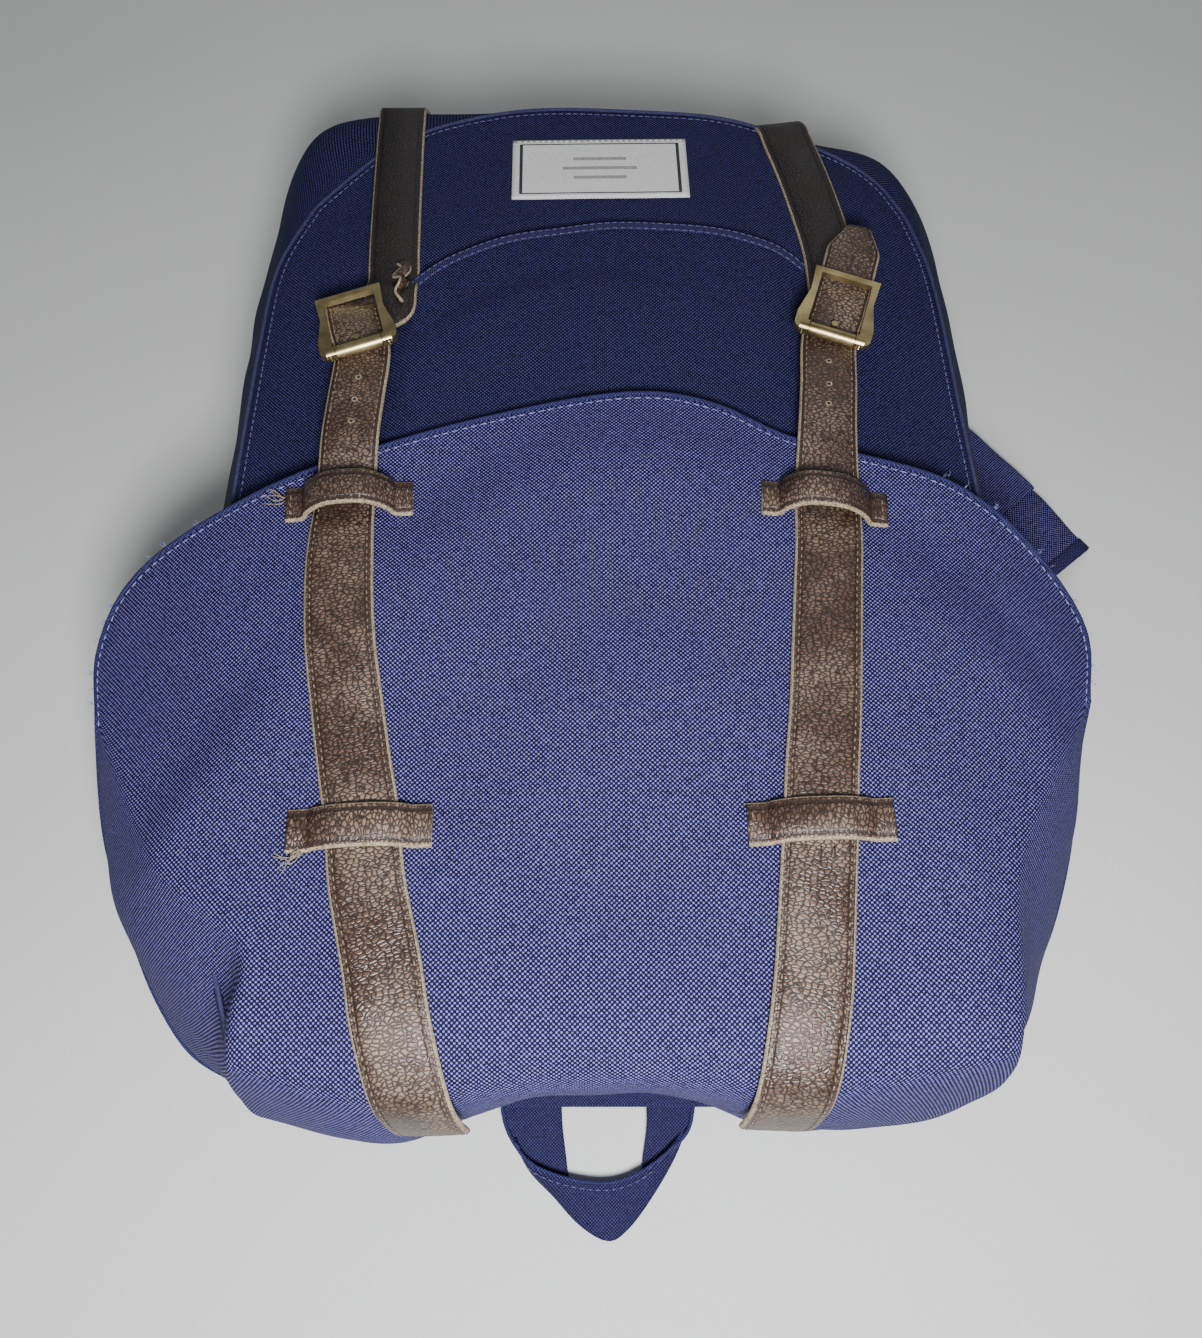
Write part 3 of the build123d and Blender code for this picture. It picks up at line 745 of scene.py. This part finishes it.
def lid_edge_trim(edge, next_row, hem):
    """The bound edge: a narrow rolled tape, with a dashed row of stitches inside it on the top face."""
    inward = [(b - a).normalized() for a, b in zip(edge, next_row)]
    bound = spaced([a + w * 0.6 for a, w in zip(edge, inward)], 220)
    tape = tube("lid_edge_binding", bound, 1.0, navy_binding)
    inside = [a + w * 3.2 for a, w in zip(edge, inward)]
    row = upright([laid(q.x, q.y, 0.2, lid_skin) for q in inside])
    seam = stitches("lid_edge_stitches", [row], pale_thread, 2.7, 1.2, 0.24, 0.12)
    dress("lid", "navy_webbing", tape, seam)
    hem_tape = tube("lid_hem_binding", spaced(hem, 260), 1.0, navy_binding)
    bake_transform(hem_tape)


lid, lid_arch, lid_next_row, lid_hem = build_lid()
lid_skin = skin(lid)
lid_edge_trim(lid_arch, lid_next_row, lid_hem)

# --- front pocket
POCKET_EDGE = [
    (-97, 92), (-88, 106), (-79, 117), (-66, 128.5), (-43, 140), (-19, 145), (5, 148.5), (36, 147), (54, 144),
    (70, 138), (84, 130), (96, 121),
]
POCKET_FOOT_Y = -30
ABOVE_ZIP = 139.3


def build_pocket(across=71, along=49, fall_rows=5):
    """The pocket's front, standing off the bag under its arched edge, over the zip."""
    far = through(POCKET_EDGE, across)
    near = through([(far[0].x, POCKET_FOOT_Y), (far[-1].x, POCKET_FOOT_Y)], across)
    left, right = (through([near[k], far[k]], along) for k in (0, -1))
    rows = coons(near, far, left, right)
    for j, row in enumerate(rows):
        for i, p in enumerate(row):
            edge = min(i, across - 1 - i) / (across - 1)
            stand = smooth((edge - 0.02) / 0.10) * (0.9 + 3.6 * smooth((j / (along - 1) - 0.35) / 0.4))
            sunk = min(smooth(edge / 0.04), smooth(j / 5))
            p.z = laid(p.x, p.y, -0.6 + 0.95 * sunk, body_skin).z + stand * smooth(j / 9)
            if edge > 0.115 and j > along * 0.72:
                p.z = max(p.z, ABOVE_ZIP)
    lip = rows[-1]
    fall = [lip]
    for step in range(1, fall_rows):
        t = step / (fall_rows - 1)
        row = []
        for p in lip:
            q = p + Vector((p.x * 0.7, 100, 0)).normalized() * (1.5 * sin(pi * t * 0.5))
            q.z = p.z + (laid(p.x, p.y + 1.5, -0.2, body_skin).z - p.z) * t**1.4
            row.append(q)
        fall.append(row)
    fall_uvs = [[(p.x * MM, (p.y + k) * MM) for p in row] for k, row in enumerate(fall)]
    made = patchwork("pocket_front", [navy_body_shaded], (rows, None, False), (fall, fall_uvs, False))
    made_cloth(edited(made, face_out), 0.6)
    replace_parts(made, "pocket_placket", "pocket_lining")
    dress("bag", "navy_fabric", made)
    surface = skin(made)

    def along_lip(inset, lift):
        inside = [p - Vector((p.x * 0.7, 100, 0)).normalized() * inset for p in lip[6:-3]]
        return [laid(q.x, q.y, lift, surface) for q in inside]

    rows = [upright(along_lip(inset, 0.75)) for inset in (1.2, 4.4)]
    seams = stitches("pocket_welt_stitches", rows, seam_thread, 2.4, 0.9, 0.26)
    welt = ribbon("pocket_welt", along_lip(2.7, 0.3), 4.6, 0.7, (0, -1, 0), navy_welt)
    dress("bag", "navy_webbing", seams, welt)
    return surface


pocket_skin = build_pocket()


# --- woven label, without any lettering
def build_label(across=33, along=17):
    """A white patch with a black frame, and plain bars in place of lettering. u and v go from -1 to 1."""
    tilt = radians(0.6)

    def spot(u, v, lift):
        x = -1.5 + (u * cos(tilt) - v * sin(tilt)) * 40
        return laid(x, 188 + v * 20 + u * sin(tilt) * 40, lift, body_skin)

    def patch(name, u0, u1, v0, v1, material, lift=1.1, thick=0.15):
        us = [u0 + (u1 - u0) * i / (across - 1) for i in range(across)]
        vs = [v0 + (v1 - v0) * j / (along - 1) for j in range(along)]
        made = patchwork(name, [material], ([[spot(u, v, lift) for u in us] for v in vs], None, False))
        dress("bag", "white_label", made_cloth(made, thick, offset=1.0, levels=0))
        return made

    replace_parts(patch("label", -1, 1, -1, 1, label_white, 0.4, 0.7), "label_patch")
    for side, sign in SIDES.items():
        patch(f"label_bar_{side}", sign * 0.90 - 0.018, sign * 0.90 + 0.018, -0.84, 0.84, label_black)
    for name, v in (("low", -0.84), ("high", 0.84)):
        patch(f"label_line_{name}", -0.91, 0.91, v - 0.012, v + 0.012, label_black)
    for k, (half, v) in enumerate(((0.3, -0.32), (0.42, 0), (0.3, 0.32))):
        patch(f"label_stripe_{k}", -half, half, v - 0.05, v + 0.05, label_grey, thick=0.12)
    corners = [spot(u * 0.965, v * 0.93, 1.3) for u, v in ((-1, -1), (1, -1), (1, 1), (-1, 1), (-1, -1))]
    rows = []
    for a, b in zip(corners, corners[1:]):
        rows.append(upright([laid(p.x, p.y, 1.3, body_skin) for p in through([a, b], 21)]))
    dress("bag", "white_label", stitches("label_stitches", rows, label_thread, 1.8, 0.9, 0.22))


build_label()

# --- leather straps
STRAP_W, STRAP_T, TAIL_W = 25, 2.4, 22
# Each buckle: its origin, and its turns in degrees about z, x and y.
BUCKLES = {"left": ((-101.5, 83, 149.5), 15, -7, -6), "right": ((96.5, 90.3, 150), -17, 0, 5)}
STRAP_PATHS = {
    "left": [(-76.5, -150), (-80, -128), (-84, -110), (-88.5, -88), (-93, -64), (-96, -40), (-97.5, -20),
             (-98, 4)],
    "right": [(69, -150), (71.5, -128), (73.5, -110), (76.5, -88), (79, -64), (81.5, -40), (83.5, -20),
              (85, 4)],
}
STRAP_ENDS_X = {"left": (-56, -69.5), "right": (56.5, 66)}
# Where each loose strap end bends up from the lid, and the point 20 mm beyond it.
STRAP_HINGES = {"left": ((-98, 26, 148.3), (-97.6, 46, 147.4)), "right": ((87, 31, 148.3), (89.2, 51, 147.4))}
ROLLER_Y = -15.5
HOLE_STEPS = (13, 24, 35)


def over_edge(x, degrees, lift):
    """A point on the lid where it rolls over its near edge, at an angle above the level."""
    turn = radians(degrees)
    out = Vector((0, -cos(turn), sin(turn)))
    return lid_skin.ray_cast(Vector((x, -160, 90)) + out * 120, -out)[0] + out * lift


def buckle_point(side, *point):
    """A point given in the buckle's own plane."""
    origin, *turns = BUCKLES[side]
    yaw, pitch, roll = (Matrix.Rotation(radians(turn), 3, axis) for turn, axis in zip(turns, "ZXY"))
    return Vector(origin) + yaw @ (pitch @ roll @ Vector(point))


def strap_line(side):
    """The middle of an upper strap: up the lid's end, over the lid, and through the buckle."""
    start, end = STRAP_ENDS_X[side]
    lift = STRAP_T / 2 + 0.35
    turns = (16, 26, 36, 45, 54, 63, 74)
    points = [over_edge(start + (end - start) * (k / 6) ** 1.25, turn, lift) for k, turn in enumerate(turns)]
    points += [laid(x, y, lift, lid_skin) for x, y in STRAP_PATHS[side]]
    points += STRAP_HINGES[side]
    low = -3.0 - STRAP_T / 2
    in_buckle = [(0, ROLLER_Y, low), (0, 0, low + 0.2), (0, 16, low)]
    if side == "right":
        in_buckle += [(-0.5, 32, low + 1.2), (-1.0, 48, low + 1.0)]
    return through(points + [buckle_point(side, *p) for p in in_buckle], 190)


def strap_holes(side, line):
    """Punched holes short of the buckle: a raw rim round a dark middle, which is painted shade in the hole.
    """
    sets, lengths = frames(line, (1, 0, 0)), lengths_along(line)
    roller = buckle_point(side, 0, ROLLER_Y, -4)
    near_roller = min(range(len(line)), key=lambda k: (line[k] - roller).length)
    # The dark middle is a disc laid on the strap: painted shade in the hole.
    for kind, radius, lift, material in (("rims", 1.25, 0.06, raw_edge), ("shaded_middles", 0.7, 0.12, dark_thread)):
        verts = []
        for step in HOLE_STEPS:
            k = min(range(near_roller), key=lambda i: abs(lengths[near_roller] - step - lengths[i]))
            along, across, up = sets[k]
            verts += circle(line[k] + up * (STRAP_T / 2 + 0.34 + lift), along, across, radius, 14)
        faces = [tuple(range(first, first + 14)) for first in range(0, len(verts), 14)]
        yield mesh_object(f"strap_hole_{kind}_{side}", verts, faces, [material])


for side in SIDES:
    def upper_width(t):
        """The strap narrows where its loose end starts, and the right one ends in a point."""
        taper = STRAP_W - (STRAP_W - TAIL_W - 0.5) * smooth((t - 0.62) / 0.12)
        return taper * (1 - 0.55 * (t - 0.965) / 0.035) if side == "right" and t > 0.965 else taper

    line = strap_line(side)
    strap = ribbon(
        f"upper_strap_leather_{side}", line, upper_width, STRAP_T, (1, 0, 0), leather, raw_edge, crown=0.35
    )
    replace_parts(strap, f"upper_strap_{side}", f"strap_tail_{side}")
    rows = edge_rows(line, (1, 0, 0), lambda t: upper_width(t) / 2 - 2.3, STRAP_T / 2 + 0.1)
    rows = [(points[:-3], normals[:-3]) for points, normals in rows]
    seam = stitches(f"upper_strap_stitches_{side}", rows, tan_thread, 1.7, 1.3, 0.30, 0.06)
    hinge_y = STRAP_HINGES[side][0][1] * MM
    for piece in (strap, seam, *strap_holes(side, line)):
        start, end = (0, hinge_y - 0.004, 0.148), (0, hinge_y + 0.006, 0.148)
        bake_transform(piece)
        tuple(start)
        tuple(end)

# The lower straps: x, y and the lift off the bag; then the bend over the bag's bottom edge.
LOWER_PATHS = {
    "left": [(-94.6, 230, 3.0), (-94.5, 222, 1.9), (-93, 180, 1.4), (-91, 140, 1.6), (-89.5, 112, 2.7),
             (-89, 86, 3.4)],
    "right": [(81.6, 223.5, 3.4), (83.6, 214, 2.4), (90, 186, 1.4), (96, 152, 1.5), (98, 128, 2.6),
              (98, 88, 3.2)],
}
LOWER_BENDS = {
    "left": [(-94.6, 242, 100), (-94.6, 242, 111), (-94.6, 238.5, 121)],
    "right": [(80.1, 234, 98), (80.4, 233.5, 108), (80.9, 231, 117)],
}


def lower_width(t):
    """The strap's end under the buckle is round."""
    return 22.0 if t < 0.93 else 22.0 * sqrt(max(0.06, 1 - ((t - 0.93) / 0.07) ** 2))


for side in SIDES:
    flat_on = []
    for p in through(LOWER_PATHS[side], 15):
        heights = [laid(p.x + dx, p.y, p.z + 0.2, body_skin, pocket_skin).z for dx in (-8, 0, 8)]
        flat_on.append((p.x, p.y, max(heights)))
    line = through(LOWER_BENDS[side] + flat_on, 130)
    roll = (lambda t: -9.0 * sin(pi * min(1, t * 1.1))) if side == "right" else None
    strap = ribbon(
        f"lower_strap_leather_{side}", line, lower_width, 2.3, (1, 0, 0), leather_lower_shaded, raw_edge, roll, 0.3
    )
    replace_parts(strap, f"lower_strap_{side}")
    rows = edge_rows(line[:118], (1, 0, 0), 8.8, 1.25)
    seam = stitches(f"lower_strap_stitches_{side}", rows, dark_thread, 2.3, 0.9, 0.32, 0.08)
    dress("bag", "brown_leather", strap, seam)

# Each keeper: the x and y of its middle, its turn in degrees and how far it arches over its strap.
KEEPERS = {
    "upper_keeper_left": (-96.5, -1, 4, 6.2),
    "upper_keeper_right": (83.5, -3, -3, 6.2),
    "lower_keeper_left": (-80.5, -132, 2, 0.6),
    "lower_keeper_right": (71.5, -130, 1, 0.6),
}
for name, (x, y, yaw, arch) in KEEPERS.items():
    along = Vector((cos(radians(yaw)), sin(radians(yaw)), 0))
    across = Vector((-along.y, along.x, 0))
    shape = [(-24, 1.1), (-17.5, 1.2), (-14.5, 2.6 + arch * 0.45), (-8, 4.2 + arch * 0.9), (0, 4.5 + arch)]
    shape += [(-u, h) for u, h in reversed(shape[:-1])]
    line = through([laid(x + along.x * u, y + along.y * u, h, lid_skin) for u, h in shape], 60)
    keeper = ribbon(name + "_leather", line, 15, 2.2, across, leather_keeper, raw_edge, crown=0.2)
    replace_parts(keeper, name)
    rows = edge_rows(line, across, 5.2, 1.15)
    rows += [upright([line[k] + across * v + UP * 1.2 for v in (-5, 0, 5)]) for k in (2, 57)]
    seam = stitches(name + "_stitches", rows, tan_thread, 2.0, 1.0, 0.32, 0.08)
    dress("lid", "brown_leather", keeper, seam)

# --- frayed threads and torn leather
chance = random.Random(11)


def fray(name, place, toward, count, reach, material, radius, slot_name="brown_leather"):
    """A few short loose threads on the lid that leave a point in about one direction."""
    threads = []
    for _ in range(count):
        start = Vector(place) + Vector([chance.uniform(-0.9, 0.9) for _ in range(2)] + [0])
        spread = [chance.uniform(-0.7, 0.7), chance.uniform(-0.7, 0.7), chance.uniform(-0.15, 0.3)]
        heading = (Vector(toward) + Vector(spread)).normalized()
        length = reach * chance.uniform(0.5, 1.0)
        bow = Vector([chance.uniform(-0.35, 0.35) * length for _ in range(2)] + [0.12 * length])
        line = through([start, start + heading * length * 0.5 + bow, start + heading * length], 12)
        threads.append(tube(name, line, lambda t: radius * (1 - 0.55 * t), material, 6))
    joined = bmesh.new()
    for thread in threads:
        joined.from_mesh(thread.data)
    joined.to_mesh(threads[0].data)
    joined.free()
    for thread in threads[1:]:
        bpy.data.objects.remove(thread)
    dress("lid", slot_name, threads[0])


for k in range(26):
    edge_point = lid_arch[chance.choice([chance.randint(1, 16), chance.randint(52, 69)])]
    out = (edge_point - Vector((0, -90, edge_point.z))).normalized()
    reach = chance.uniform(1.8, 3.6)
    fray(f"edge_fray_{k}", edge_point + out * 0.8, out, 3, reach, pale_thread, 0.11, "navy_webbing")
fray("keeper_fray_upper_left", laid(-121, 0, 2.0, lid_skin), (-1, 0.5, 0.1), 5, 9, raw_edge, 0.24)
fray("keeper_fray_lower_left", laid(-99, -140, 1.6, lid_skin), (-1, -0.6, 0), 6, 10, raw_edge, 0.22)
CURL = [
    (-87, 125, 4.8), (-84, 120, 7.0), (-87.5, 114, 7.6), (-83.5, 109, 7.2), (-86, 104, 6.2), (-83.5, 99, 5.0),
]
line = through([laid(*spot, body_skin, pocket_skin) for spot in CURL], 26)
curl = ribbon("torn_leather_curl", line, 4.6, 1.3, (1, 0.2, 0), leather_keeper, raw_edge, lambda t: 70 * t)
dress("bag", "brown_leather", curl)
# Slits in the strap: thin dark cords laid on it, as painted shade in each cut.
for k, x in enumerate((66, 70, 74)):
    middle = laid(x, -141, 3.15, lid_skin)
    line = [middle + Vector((0.35 * k, dy, 0)) for dy in (-1.9, 0, 1.9)]
    dress("lid", "brown_leather", tube(f"strap_slit_shade_{k}", line, 0.28, dark_thread, 6))


# --- haul loop
def build_haul_loop(half=60):
    """A folded strip: two legs with their inner face up, and a tip turned over on top of them."""
    upper = [
        (-41.5, -202, 9), (-39.5, -211, 9), (-35, -219, 9.5), (-28, -226, 9.5), (-14, -231, 8.5),
        (2, -232.5, 8), (14, -229, 8.5), (26, -221, 9.5), (34, -213, 9.5), (37, -202, 9),
    ]
    fold = [
        (-36, -215, 7), (-30, -227, 4), (-20, -237, 3), (-9, -248, 2.6), (2, -253.5, 2.4), (10, -249, 2.6),
        (19, -238, 3), (28, -224, 4), (34, -211, 7),
    ]
    tip_top, tip_low = through(upper[2:-2], half), through(fold, half)
    rows = []
    for j in range(13):
        rise = UP * 1.4 * sin(pi * j / 12)
        rows.append([a.lerp(b, j / 12) + rise for a, b in zip(tip_top, tip_low)])
    grids = [(rows, None, False)]
    for outer, inner in (
        ([(-41.5, -202, 8), (-39, -211, 8), (-33, -222, 4.5), (-22, -235, 2.4), (-9, -247.5, 1.8)],
         [(-17, -202, 6.5), (-16.5, -211, 5), (-15, -222, 3), (-13, -232, 1.8), (-5, -243, 1.6)]),
        ([(37, -202, 8), (35, -211, 8), (29, -221, 4.5), (20, -235, 2.4), (9, -248, 1.8)],
         [(17.5, -202, 6.5), (17.5, -211, 5), (16, -221, 3), (14, -231, 1.8), (5, -243, 1.6)]),
    ):
        pairs = list(zip(through(outer, 34), through(inner, 34)))
        grids.append(([[a.lerp(b, j / 10) for a, b in pairs] for j in range(11)], None, False))
    loop = made_cloth(edited(patchwork("haul_loop_cloth", [navy_fine], *grids), face_out), 1.3, offset=0.0)
    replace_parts(loop, "haul_loop", "haul_loop_base")
    piping = tube("haul_loop_piping", through(upper, 120), 0.8, navy_binding)
    row = upright([p + Vector((0, -2.6, 0.9)) for p in tip_top[6:-6]])
    seam = stitches("haul_loop_stitches", [row], blue_thread, 2.2, 0.9, 0.26)
    for piece in (loop, piping, seam):
        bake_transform(piece)


build_haul_loop()

# --- shoulder harness
PAD_PATHS = {
    "left": [(-64, -200, 5), (-64.5, -178, 4), (-68, -90, 4), (-88, -20, 4), (-128, 26, 4)],
    "right": [(64, -200, 5), (64.5, -178, 4), (68, -90, 4), (96, -20, 4), (150, 20, 4)],
}
WEBBING = {"left": [(-134, 32, 4), (-168, 98, 4.2)], "right": [(157, 25, 4), (200, 84, 4.2)]}
# Each wing: the two ends of its seam on the bag, then the two corners of its tip, with their heights.
WINGS = {
    "left": ((-150, 100, 15), (-150, 184, 15), (-172, 103, 11.2), (-181, 121, 10.6)),
    "right": ((150, 128, 15), (152, 184, 15), (203, 80, 11.2), (223, 97, 10.6)),
}
TAILS = {
    "left": [(-160, 136, 8.1), (-171, 110, 8.1), (-175.5, 99.5, 8), (-180, 89, 6.2), (-184, 79, 3),
             (-187, 72, 1.5)],
    "right": [(188, 120, 8.1), (208, 95.5, 8.1), (216, 85.6, 8), (222, 78.2, 6.4), (231, 67.2, 3),
              (238.5, 58, 1.5)],
}


def build_wing(side, count=25):
    """The cloth wing that joins a shoulder strap's webbing to the bag."""
    near, far, apex_near, apex_far = (Vector(p) for p in WINGS[side])
    rows = []
    for j in range(count):
        v = j / (count - 1)
        row = through([near.lerp(apex_near, v), far.lerp(apex_far, v)], count)
        for i, p in enumerate(row):
            swell = sin(pi * v) * sin(pi * i / (count - 1))
            p.z += 2.2 * swell + creased(p, 14, 1.2, 4.0)
        rows.append(row)
    wing = patchwork(f"strap_wing_cloth_{side}", [navy], (rows, None, side == "right"))
    dress("bag", "navy_fabric", made_cloth(wing, 1.4, offset=0.0))
    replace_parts(wing, f"strap_wing_{side}")


for side, sign in SIDES.items():
    line, hint = through(PAD_PATHS[side], 90), (1, 0.4 * -sign, 0)
    pad = ribbon(f"shoulder_pad_cloth_{side}", line, 60, 6.0, hint, navy, navy_tape, crown=0.9, square=0.48)
    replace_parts(pad, f"shoulder_pad_{side}")
    dress("bag", "navy_padding", pad)
    rows = edge_rows(line[4:], hint, 25, 3.2)
    seam = stitches(f"shoulder_pad_stitches_{side}", rows, blue_thread, 2.4, 1.0, 0.3)
    webbing = ribbon(f"strap_webbing_tape_{side}", through(WEBBING[side], 24), 25, 1.4, (1, 0, 0), navy_tape)
    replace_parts(webbing, f"strap_webbing_{side}")
    dress("bag", "navy_webbing", seam, webbing)
    build_wing(side)
    line = through(TAILS[side], 60)
    direction = (line[-1] - line[0]).normalized()
    across = (-direction.y, direction.x, 0)
    tail = ribbon(f"webbing_tail_tape_{side}", line, 25, 1.4, across, navy, navy_tape)
    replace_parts(tail, f"webbing_tail_{side}")
    line = [line[-1] - direction * d + UP * 0.95 for d in (7, 5.5, 3.5, 1.5, 0.2)]
    hem = ribbon(f"webbing_tail_hem_{side}", line, 25.4, 1.1, across, navy_tape)
    dress(f"tail_{side}", "navy_webbing", tail, hem)

line = [Vector((0, y, 4.2)) for y in range(-160, 161, 8)]
back_pad = ribbon("back_pad_cloth", line, 58, 7.6, (1, 0, 0), navy, navy_tape, crown=0.6, square=0.48)
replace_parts(back_pad, "back_pad")
line = [Vector((x, -192, 8.4)) for x in range(-100, 101, 8)]
yoke = ribbon("yoke_patch_cloth", line, 24, 1.6, (0, 1, 0), navy_fine, navy_tape)
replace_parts(yoke, "yoke_patch")


def sleeve_width(t):
    return 2 * (112 + 30 * smooth(t / 0.25)) - 24 * smooth((t - 0.9) / 0.1)


line = [Vector((0, y, 35.6 + 1.2 * sin((y + 176) / 60))) for y in range(-176, 217, 8)]
sleeve = ribbon(
    "laptop_sleeve_cloth", line, sleeve_width, 3.0, (1, 0, 0), lining, navy_tape, crown=1.0, square=0.45
)
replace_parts(sleeve, "laptop_sleeve")
dress("bag", "navy_padding", back_pad, sleeve)
dress("bag", "navy_fabric", yoke)

# --- finishes of the carried-over CAD nodes
# Each row: a material, the width its edges are rounded by, and CAD nodes, where * is a side.
FINISHES = [
    (brass, 0.75, "buckle_frame_*"), (brass, 0, "buckle_roller_* zip_pull"), (brass, 0.5, "zip_slider"),
    (brass, 0.3, "clip_plate_*"), (steel, 0.4, "catch_magnet_* clip_magnet_*"),
    (black_plastic, 0.8, "ladder_lock_*"), (black_plastic, 0, "pocket_zip_teeth"),
    (navy_plain, 0, "pocket_zip_tape"),
]
for material, rounding, names in FINISHES:
    for name in sorted({name.replace("*", side) for name in names.split() for side in SIDES}):
        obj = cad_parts[name]
        obj.data.materials.clear()
        obj.data.materials.append(material)
        obj.data.polygons.foreach_set("use_smooth", [True] * len(obj.data.polygons))
        if rounding:
            bevel = obj.modifiers.new("edges", "BEVEL")
            bevel.width = rounding * MM
            bevel.segments = 3
            bevel.limit_method = "ANGLE"
            bevel.angle_limit = radians(35)
